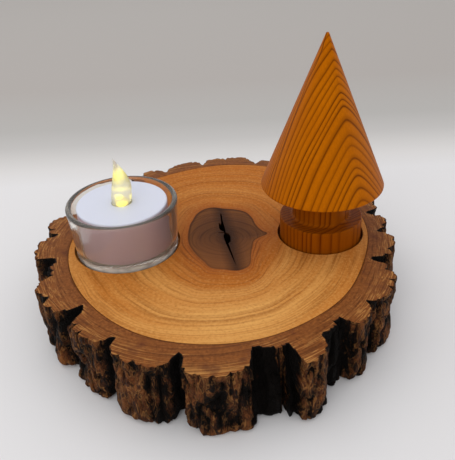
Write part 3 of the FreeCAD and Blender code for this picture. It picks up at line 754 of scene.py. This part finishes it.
# Matt studio paper: pale under the object, greyer behind it, where the light falls off.
def studio_paper(colours):
    material, add, mm = new_material("studio_paper")
    part = add("SeparateXYZ", [mm])
    distance = add("MapRange", [part.outputs["Y"], 115.0, 565.0])
    far = add("ValToRGB", [distance], stops=[
        (0.0, colours.floor), (1.0, "#B4B0AC"), (0.045, "#DCDAD9"),
        (0.09, "#CFCDCB"), (0.13, "#C2C0BE"), (0.2, "#B6B4B1"),
        (0.4, colours.backdrop)])
    fibre = add("TexNoise", {"Vector": mm, "Scale": 0.9, "Detail": 2.0})
    rough = add("MapRange", [fibre, 0.0, 1.0, 0.75, 0.9])
    shader = add("BsdfPrincipled", {"Base Color": far, "Roughness": rough, "Specular IOR Level": 0.1})
    finish_surface(add, shader)
    return material


# ---- Pieces ----

NEIGHBOURS = 30              # stations looked at on either side, at most
TANGENT_REACH = 3 * MM       # the outline's direction is taken over this much on either side
EVENNESS = 0.02              # share of even spacing in the angles
NOTCH_DEPTH = (2.5 * MM, 7 * MM)   # depth below the crest where a notch's painted shade starts and is full
FILLED_RISE = (0.3, 0.97)    # shares of the height where the filling starts to fade and is gone
WOOD_CLEARANCE = 0.03 * MM
CAMBIUM_WIDTH = 0.5 * MM
CORE_ROWS, FACE_ROWS = 4, 24   # rows of points across the underside and across the sawn face
FACE_CROWDING = 1.5          # power that crowds the sawn face's rows towards the outside


def nearby(values, theta, window, pick):
    """The least or greatest of the values that lie within a window of angle on either side along a ring."""
    found = values
    for step in range(1, NEIGHBOURS):
        for shift in (step, -step):
            apart = np.abs(np.roll(theta, shift, axis=1) - theta)
            apart = np.minimum(apart, FULL_TURN - apart)
            found = np.where(apart < window, pick(found, np.roll(values, shift, axis=1)), found)
    return found


def bark_points(sizes):
    """Grid points of the bark, and its hollow, across, sawn and depth values, rows by stations.

    The outline is followed at even steps. Up the side, a point is moved along the outline by a slow noise
    (the furrows sway), then inwards by three noises: long cracks, small plates and grain. Its angle is kept
    from falling along the ring, so that no wall of a furrow folds over, and fins thinner than a limit are
    cut down, by the least and then the greatest radius within a window. Round one direction the notch is
    filled towards the nearest crest, by a bell of the angle times a step down the side. The ends are
    rounded: by a small arc at the sawn edge, and by a larger one of varied radius at the worn foot. The
    sawn face runs straight from the side's upper end to the wood."""
    wood = foot_outline("wood_slice")
    angle, radius = foot_outline("bark_ring", beyond=wood)
    corners = np.stack([radius * np.cos(angle), radius * np.sin(angle)], axis=-1)
    corners = np.vstack([corners, corners[:1]])
    walked = np.concatenate([[0], np.cumsum(np.hypot(*np.diff(corners, axis=0).T))])
    around = walked[-1]
    stations = sizes.stations
    place = np.linspace(0, around, stations, endpoint=False)

    def outline_at(distance):
        """The outline's points at distances walked along it."""
        wrapped = distance % around
        return np.stack([np.interp(wrapped, walked, corners[:, k]) for k in (0, 1)], axis=-1)

    height = SLICE_TOP - SLICE_LOW.z
    lift = np.linspace(0, 1, sizes.levels)
    lift = np.concatenate([lift[:-1], [1 - sizes.sawn_edge / height * 0.5], [1.0]])
    up, on = np.meshgrid(lift, place, indexing="ij")
    down = (1 - up) * height

    def noise(cell_along, cell_up, seed, shift=0.0):
        """Lattice noise with cells this long along the outline and this tall, moved along by shift."""
        cells = max(4, round(around / cell_along))
        return lattice_noise((on + shift) / around * cells, down / cell_up + seed, cells, seed)

    sway = (noise(14 * MM, 16 * MM, 3) - noise(14 * MM, 1.0, 3)) * 2 * sizes.sway
    strands = crease(noise(5.5 * MM, 30 * MM, 11, sway), 5) * noise(12 * MM, 9 * MM, 12)
    plates = crease(noise(2.6 * MM, 7 * MM, 13, sway), 3) * noise(7 * MM, 6 * MM, 14)
    grain = noise(1.5 * MM, 2.4 * MM, 15)
    lumps = noise(9 * MM, 12 * MM, 16)
    inset = (strands * 1.6 * sizes.strand_depth + plates * 1.5 * sizes.plate_depth
             + grain * sizes.grain_depth + lumps * sizes.grain_depth)

    ends = noise(8 * MM, 1.0, 21)
    worn = sizes.worn_foot * (0.35 + 0.65 * ends)
    rise = np.clip(1 - (up * height) / worn, 0, 1)
    inset = inset + worn * (1 - np.sqrt(1 - 0.97 * rise ** 2)) * 0.8
    drop = np.clip(1 - down / sizes.sawn_edge, 0, 1)
    inset = inset + sizes.sawn_edge * (1 - np.sqrt(1 - drop ** 2))

    base = outline_at(on + sway)
    ahead, behind = outline_at(on + sway + TANGENT_REACH), outline_at(on + sway - TANGENT_REACH)
    along = ahead - behind
    along /= np.linalg.norm(along, axis=-1, keepdims=True)
    inward = np.stack([-along[..., 1], along[..., 0]], axis=-1)
    side = base + inward * inset[..., None]
    theta = np.unwrap(np.arctan2(side[..., 1], side[..., 0]), axis=1)
    even = theta[:, :1] + np.linspace(0, FULL_TURN, stations, endpoint=False)
    falling = np.minimum.accumulate(theta[:, ::-1], axis=1)[:, ::-1]
    theta = (1 - EVENNESS) * (np.maximum.accumulate(theta, axis=1) + falling) / 2 + EVENNESS * even
    reach = np.hypot(side[..., 0], side[..., 1])
    window = sizes.thinnest / 2 / reach.mean()
    solid = nearby(nearby(reach, theta, window, np.minimum), theta, window, np.maximum)
    reach = np.minimum(reach, solid + sizes.grain_depth)
    least = radius_at(theta, wood) + sizes.bark_margin
    reach = np.maximum(reach, least)
    # The hollow value is painted dark by the bark's material: in the cracks partly the bark's own colour and
    # partly painted shade, and in low places near a higher crest painted shade.
    hollow = np.clip((strands * 1.3 + plates * 0.8) / 1.1, 0, 1)
    crest = nearby(reach, theta, sizes.furrow_reach / reach.mean(), np.maximum)
    hollow = np.maximum(hollow, smooth_step(*NOTCH_DEPTH, crest - reach))
    off = (theta - sizes.filled_direction + np.pi) % FULL_TURN - np.pi
    bell = np.exp(-(off / sizes.filled_spread) ** 2)
    filled = sizes.filled_share * bell * (1 - smooth_step(*FILLED_RISE, up))
    reach = reach + filled * (0.55 + 0.45 * noise(4 * MM, 9 * MM, 31)) * (crest - reach)
    side = np.stack([reach * np.cos(theta), reach * np.sin(theta), SLICE_LOW.z + up * height], axis=-1)

    def flat_rows(ring, shares, level):
        """Rows from the wood's edge (share 0) to a ring (share 1) at one level."""
        turn = np.arctan2(ring[:, 1], ring[:, 0])
        inner = radius_at(turn, wood) + WOOD_CLEARANCE
        outer = np.hypot(ring[:, 0], ring[:, 1])
        r = inner + (outer - inner) * shares[:, None]
        spot = np.stack([r * np.cos(turn), r * np.sin(turn), np.full_like(r, level)], axis=-1)
        return spot, np.broadcast_to(shares[:, None], r.shape), r - inner

    low_shares = np.linspace(0, 1, CORE_ROWS + 1)[:-1]
    low, low_across, low_depth = flat_rows(side[0], low_shares, SLICE_LOW.z)
    top_shares = 1 - np.linspace(0, 1, FACE_ROWS + 1)[1:] ** FACE_CROWDING
    top, top_across, top_depth = flat_rows(side[-1], top_shares, SLICE_TOP)
    top[..., 2] -= sizes.cambium * np.exp(-(top_depth / CAMBIUM_WIDTH) ** 2)

    points = np.concatenate([low, side, top])
    rows = [len(low), len(side), len(top)]
    nothing = np.zeros((1, stations))
    # Painted shade: the underside gets half hollow, and the sawn face's outer edge gets the side's hollow
    # next to a furrow.
    hollow = np.concatenate([np.repeat(nothing + 0.5, rows[0], 0), hollow,
                             hollow[-1] * smooth_step(0.86, 1.0, top_across)])
    across = np.concatenate([low_across, np.repeat(nothing + 1, rows[1], 0), top_across])
    depth = np.concatenate([low_depth, np.repeat(nothing, rows[1], 0) + top_depth[0], top_depth]) / MM
    sawn = np.concatenate([np.repeat(nothing + 0.7, rows[0], 0), np.repeat(nothing, rows[1], 0),
                           np.repeat(nothing + 1, rows[2], 0)])
    return points, {"hollow": hollow, "across": across, "sawn": sawn, "depth": depth}


class Builder:
    """What the operators share: each builds into the scene in its build()."""

    def execute(self, context):
        self.build(context.scene)
        return {"FINISHED"}


class CENTREPIECE_OT_bark(Builder, bpy.types.Operator):
    """Builds the furrowed bark ring"""
    bl_idname = "centrepiece.bark"
    bl_label = "Bark"

    def build(self, scene):
        points, values = bark_points(scene.centrepiece_bark)
        rows, stations = points.shape[:2]
        faces = ring_quads(rows, stations, close_rows=True)
        piece = new_piece("bark", points.reshape(-1, 3), faces.tolist(),
                          bark(scene.centrepiece_colours), "base", "bark_ring")
        for name, value in values.items():
            layer = piece.data.attributes.new(name, "FLOAT", "POINT")
            layer.data.foreach_set("value", value.astype(np.float32).ravel())


class CENTREPIECE_OT_wood_slice(Builder, bpy.types.Operator):
    """Gives the wood slice its end grain"""
    bl_idname = "centrepiece.wood_slice"
    bl_label = "Wood slice"

    def build(self, scene):
        give(["wood_slice"], end_grain(scene.centrepiece_colours))


class CENTREPIECE_OT_turned_tree(Builder, bpy.types.Operator):
    """Builds the turned cone tree"""
    bl_idname = "centrepiece.turned_tree"
    bl_label = "Turned tree"

    def build(self, scene):
        sizes = scene.centrepiece_turned
        low, high = TREE_LOW.z, TREE_HIGH.z
        shoulder = low + sizes.foot_height
        skirt = shoulder + sizes.stem_length
        cone = (TREE_HIGH.x - TREE_LOW.x) / 2
        profile = rounded([
            (0, low, 0), (sizes.foot_radius, low, sizes.edge), (sizes.foot_radius, shoulder, sizes.edge),
            (sizes.stem_radius, shoulder, sizes.fillet), (sizes.stem_radius, skirt, sizes.fillet / 2),
            (cone, skirt, sizes.edge), (sizes.edge, high, sizes.edge / 2), (0, high, 0),
        ])
        points, faces = turned(profile, TREE_CENTRE, sizes.facets)
        new_piece("tree", points, faces, turned_softwood(scene.centrepiece_colours), "tree",
                  "turned_tree")


RIM_ROUND = 0.48             # share of the rim's wall
INNER_CORNER = 0.5 * MM
ARC_POINTS = 9               # points along a punt's or a bore's curve


class CENTREPIECE_OT_glass_cup(Builder, bpy.types.Operator):
    """Builds the pressed glass cup"""
    bl_idname = "centrepiece.glass_cup"
    bl_label = "Glass cup"

    def build(self, scene):
        sizes = scene.centrepiece_cup
        low, high = CUP_LOW.z, CUP_HIGH.z
        rim = (CUP_HIGH.x - CUP_LOW.x) / 2
        punt = [(sizes.punt_radius * t, low + sizes.punt_depth * (1 - t * t), 0)
                for t in np.linspace(0, 1, ARC_POINTS)]
        profile = rounded([
            *punt, (sizes.foot_radius, low, sizes.corner), (rim, high, RIM_ROUND * sizes.rim_wall),
            (rim - sizes.rim_wall, high, RIM_ROUND * sizes.rim_wall),
            (sizes.inner_radius, low + sizes.base, INNER_CORNER), (0, low + sizes.base, 0),
        ])
        points, faces = turned(profile, CUP_CENTRE, scene.centrepiece_turned.facets)
        new_piece("cup", points, faces, pressed_glass(), "cup",
                  "glass_cup")


class CENTREPIECE_OT_candle_shell(Builder, bpy.types.Operator):
    """Builds the tealight's white shell"""
    bl_idname = "centrepiece.candle_shell"
    bl_label = "Candle shell"

    def build(self, scene):
        sizes = scene.centrepiece_tealight
        low, high = SHELL_LOW.z, SHELL_HIGH.z
        outer = (SHELL_HIGH.x - SHELL_LOW.x) / 2
        inner = outer - sizes.wall
        lip, foot = 0.25 * MM, 0.2 * MM
        profile = rounded([
            (inner, low, foot), (outer, low, foot), (outer, high, sizes.edge),
            (sizes.hole, high, lip), (sizes.hole, high - sizes.top, lip),
            (inner, high - sizes.top, lip), (inner, low, foot), (outer, low, 0),
        ])[1:]
        rings = profile[:-1]
        angle = np.linspace(0, FULL_TURN, scene.centrepiece_turned.facets, endpoint=False)
        points = np.stack([CUP_CENTRE.x + rings[:, :1] * np.cos(angle), rings[:, :1] * np.sin(angle),
                           np.broadcast_to(rings[:, 1:], (len(rings), len(angle)))], axis=-1)
        faces = ring_quads(len(rings), len(angle), close_rows=True)
        new_piece("shell", points.reshape(-1, 3), faces.tolist(),
                  moulded_white(scene.centrepiece_colours), "tealight",
                  "candle_shell")


# The flame above the shell's top: height, lean, radius, flatness and twist in degrees.
FLAME_SECTIONS = [
    (0, 0.0, 4.15, 1.0, 0), (3.5, 0.4, 4.2, 0.98, 0), (7, 0.85, 4.0, 0.95, 10), (11, 0.8, 3.2, 0.85, 30),
    (15.5, 0.0, 1.75, 0.6, 60), (18.5, -0.8, 0.75, 0.4, 80), (19.5, -1.05, 0.3, 0.4, 85),
]
FLAME_FLANGE = (5.6 - 0.05) * MM   # the moulding's flange under the shell, less its clearance
LAMP_HEADROOM = 0.2 * MM           # between the lamp's dome and the bore
LEAST_FLAME = 0.2                  # millimetres of radius kept at the tip
FLAME_ROWS, FLAME_FACETS = 60, 96
LAMP_ARC, LAMP_FACETS = 13, 64


class CENTREPIECE_OT_flame(Builder, bpy.types.Operator):
    """Builds the clear flame with its bore for the lamp"""
    bl_idname = "centrepiece.flame"
    bl_label = "Flame"

    def build(self, scene):
        sizes = scene.centrepiece_tealight
        seat, table = FLAME_LOW.z, SHELL_HIGH.z
        edge = 0.1 * MM
        bore_top = LAMP_HIGH.z + LAMP_HEADROOM
        dome = [(sizes.flame_bore * math.sin(t), bore_top - sizes.flame_bore * (1 - math.cos(t)), 0)
                for t in np.linspace(0, math.pi / 2, ARC_POINTS)]
        below = rounded([
            *dome, (sizes.flame_bore, seat, edge), (FLAME_FLANGE, seat, edge),
            (FLAME_FLANGE, table - sizes.top, edge), (sizes.flame_neck, table - sizes.top, 0),
            (sizes.flame_neck, table, 0),
        ])
        rise = np.linspace(0, 1, FLAME_ROWS)[1:] * (FLAME_HIGH.z - table)
        knots = np.array(FLAME_SECTIONS, float)
        lean, radius, flat, twist = (fair(rise / MM, knots[:, (0, k)]) for k in (1, 2, 3, 4))
        above = np.stack([np.maximum(radius, LEAST_FLAME) * MM, table + rise], axis=-1)
        profile = np.vstack([below, above, [[0, FLAME_HIGH.z]]])
        quiet = np.zeros(len(below))
        points, faces = turned(
            profile, CUP_CENTRE, FLAME_FACETS, lean=np.concatenate([quiet, lean, lean[-1:]]) * MM,
            flat=np.concatenate([quiet + 1, flat, flat[-1:]]),
            twist=np.radians(np.concatenate([quiet, twist, twist[-1:]])))
        new_piece("flame", points, faces, glowing_flame(scene.centrepiece_colours), "tealight",
                  "flame_lens")


class CENTREPIECE_OT_lamp(Builder, bpy.types.Operator):
    """Builds the lamp that lights the flame"""
    bl_idname = "centrepiece.lamp"
    bl_label = "Lamp"

    def build(self, scene):
        sizes = scene.centrepiece_tealight
        low, high = LAMP_LOW.z, LAMP_HIGH.z
        flange, edge = (LAMP_HIGH.x - LAMP_LOW.x) / 2, 0.15 * MM
        dome = [(sizes.lamp_radius * math.cos(t), high - sizes.lamp_radius * (1 - math.sin(t)), 0)
                for t in np.linspace(0, math.pi / 2, LAMP_ARC)]
        profile = rounded([
            (0, low, 0), (flange, low, edge), (flange, low + sizes.lamp_flange, edge),
            (sizes.lamp_radius, low + sizes.lamp_flange, 0), *dome,
        ], longest=0.6 * MM)
        points, faces = turned(profile, CUP_CENTRE, LAMP_FACETS)
        new_piece("lamp", points, faces, lamp_resin(scene.centrepiece_colours), "tealight",
                  "led_lamp")


def give(nodes, material):
    """Puts a material in every material slot of the named CAD nodes."""
    for name in nodes:
        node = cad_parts[name]
        if not node.material_slots:
            node.data.materials.append(material)
        for slot in node.material_slots:
            slot.material = material


class CENTREPIECE_OT_tealight_works(Builder, bpy.types.Operator):
    """Gives the tealight's inner parts their finishes"""
    bl_idname = "centrepiece.tealight_works"
    bl_label = "Tealight works"

    def build(self, scene):
        give(["base_plate", "battery_cover"], moulded_abs("moulded_abs_grey", "#D2D2D0"))
        give(["switch_slider"], moulded_abs("moulded_abs_black", "#1B1B1D"))
        give(["coin_cell"], plated_steel("nickel_plated_steel", "#C9C6BF", (0.2, 3.0, 1.0)))
        give(["negative_contact", "positive_contact", "switch_contact", "led_leads"],
             plated_steel("tinned_spring_steel", "#BDBAB2", (0.3, 2.0, 2.0)))


def soft_light(name, place, aim, size, power, shade):
    """An area light at a place that faces a point."""
    lamp = bpy.data.lights.new(name, "AREA")
    lamp.shape, lamp.size, lamp.energy, lamp.color = "DISK", size, power, linear(shade)
    holder = bpy.data.objects.new(name, lamp)
    bpy.context.scene.collection.objects.link(holder)
    holder.location = place
    holder.rotation_euler = (Vector(aim) - Vector(place)).to_track_quat("-Z", "Y").to_euler()
    return holder


FLOOR_FACETS = 96
FLOOR_DROP = 0.02 * MM       # the floor lies this far under the slice
AIR_STRENGTH = 0.9           # light that comes evenly from all sides


class CENTREPIECE_OT_stage(Builder, bpy.types.Operator):
    """Sets up the floor, the soft lights and the camera"""
    bl_idname = "centrepiece.stage"
    bl_label = "Stage"

    def build(self, scene):
        sizes = scene.centrepiece_stage
        angle = np.linspace(0, FULL_TURN, FLOOR_FACETS, endpoint=False)
        rim = np.stack([sizes.floor_radius * np.cos(angle), sizes.floor_radius * np.sin(angle),
                        np.full_like(angle, SLICE_LOW.z - FLOOR_DROP)], axis=-1)
        mesh = bpy.data.meshes.new("floor")
        mesh.from_pydata(rim.tolist(), [], [list(range(len(rim)))])
        mesh.materials.append(studio_paper(scene.centrepiece_colours))
        floor = bpy.data.objects.new("floor", mesh)
        scene.collection.objects.link(floor)

        world = bpy.data.worlds.new("studio")
        world.use_nodes = True
        air = world.node_tree.nodes["Background"].inputs
        air["Color"].default_value, air["Strength"].default_value = rgba("#F4F3F4"), AIR_STRENGTH
        scene.world = world
        scene.view_settings.view_transform = "Standard"
        soft_light("key", place=(-0.2, 0.2, 0.9), aim=(0, 0, 0), size=1.0, power=1.5, shade="#FFFFFC")
        soft_light("fill", place=(-0.3, -0.75, 0.45), aim=(0, 0, 0), size=0.6, power=1.4, shade="#FFFEFA")

        data = bpy.data.cameras.new("camera")
        data.lens, data.clip_start = sizes.lens, 0.01
        camera = bpy.data.objects.new("camera", data)
        scene.collection.objects.link(camera)
        pitch, roll = sizes.pitch, sizes.roll
        ahead = Vector((0, math.cos(pitch), -math.sin(pitch)))
        level, upright = Vector((1, 0, 0)), Vector((0, math.sin(pitch), math.cos(pitch)))
        right = math.cos(roll) * level + math.sin(roll) * upright
        up = math.cos(roll) * upright - math.sin(roll) * level
        camera.rotation_euler = Matrix((right, up, -ahead)).transposed().to_euler()
        camera.location = Vector((0, 0, SLICE_TOP + sizes.rise)) - ahead * sizes.distance
        scene.camera = camera


PIECES = [CENTREPIECE_OT_stage, CENTREPIECE_OT_wood_slice, CENTREPIECE_OT_bark, CENTREPIECE_OT_turned_tree,
          CENTREPIECE_OT_glass_cup, CENTREPIECE_OT_candle_shell, CENTREPIECE_OT_flame,
          CENTREPIECE_OT_lamp, CENTREPIECE_OT_tealight_works]
GROUPS = {"centrepiece_bark": BarkSizes, "centrepiece_turned": TurnedSizes, "centrepiece_cup": CupSizes,
          "centrepiece_tealight": TealightSizes, "centrepiece_colours": Colours,
          "centrepiece_stage": StageSizes}


class CENTREPIECE_PT_panel(bpy.types.Panel):
    """Lists the pieces and their sizes"""
    bl_idname = "CENTREPIECE_PT_panel"
    bl_label = "Log slice centrepiece"
    bl_space_type = "VIEW_3D"
    bl_region_type = "UI"
    bl_category = "Centrepiece"

    def draw(self, context):
        for piece in PIECES:
            self.layout.operator(piece.bl_idname)
        for name, group in GROUPS.items():
            box = self.layout.box()
            for field in group.__annotations__:
                box.prop(getattr(context.scene, name), field)


CLASSES = [*GROUPS.values(), *PIECES, CENTREPIECE_PT_panel]


def register():
    for item in CLASSES:
        bpy.utils.register_class(item)
    for name, group in GROUPS.items():
        setattr(bpy.types.Scene, name, PointerProperty(type=group))


def unregister():
    for name in GROUPS:
        delattr(bpy.types.Scene, name)
    for item in reversed(CLASSES):
        bpy.utils.unregister_class(item)


def main():
    """Builds every piece and the stage."""
    register()
    for piece in PIECES:
        group, name = piece.bl_idname.split(".")
        getattr(getattr(bpy.ops, group), name)()


if __name__ == "__main__":
    main()
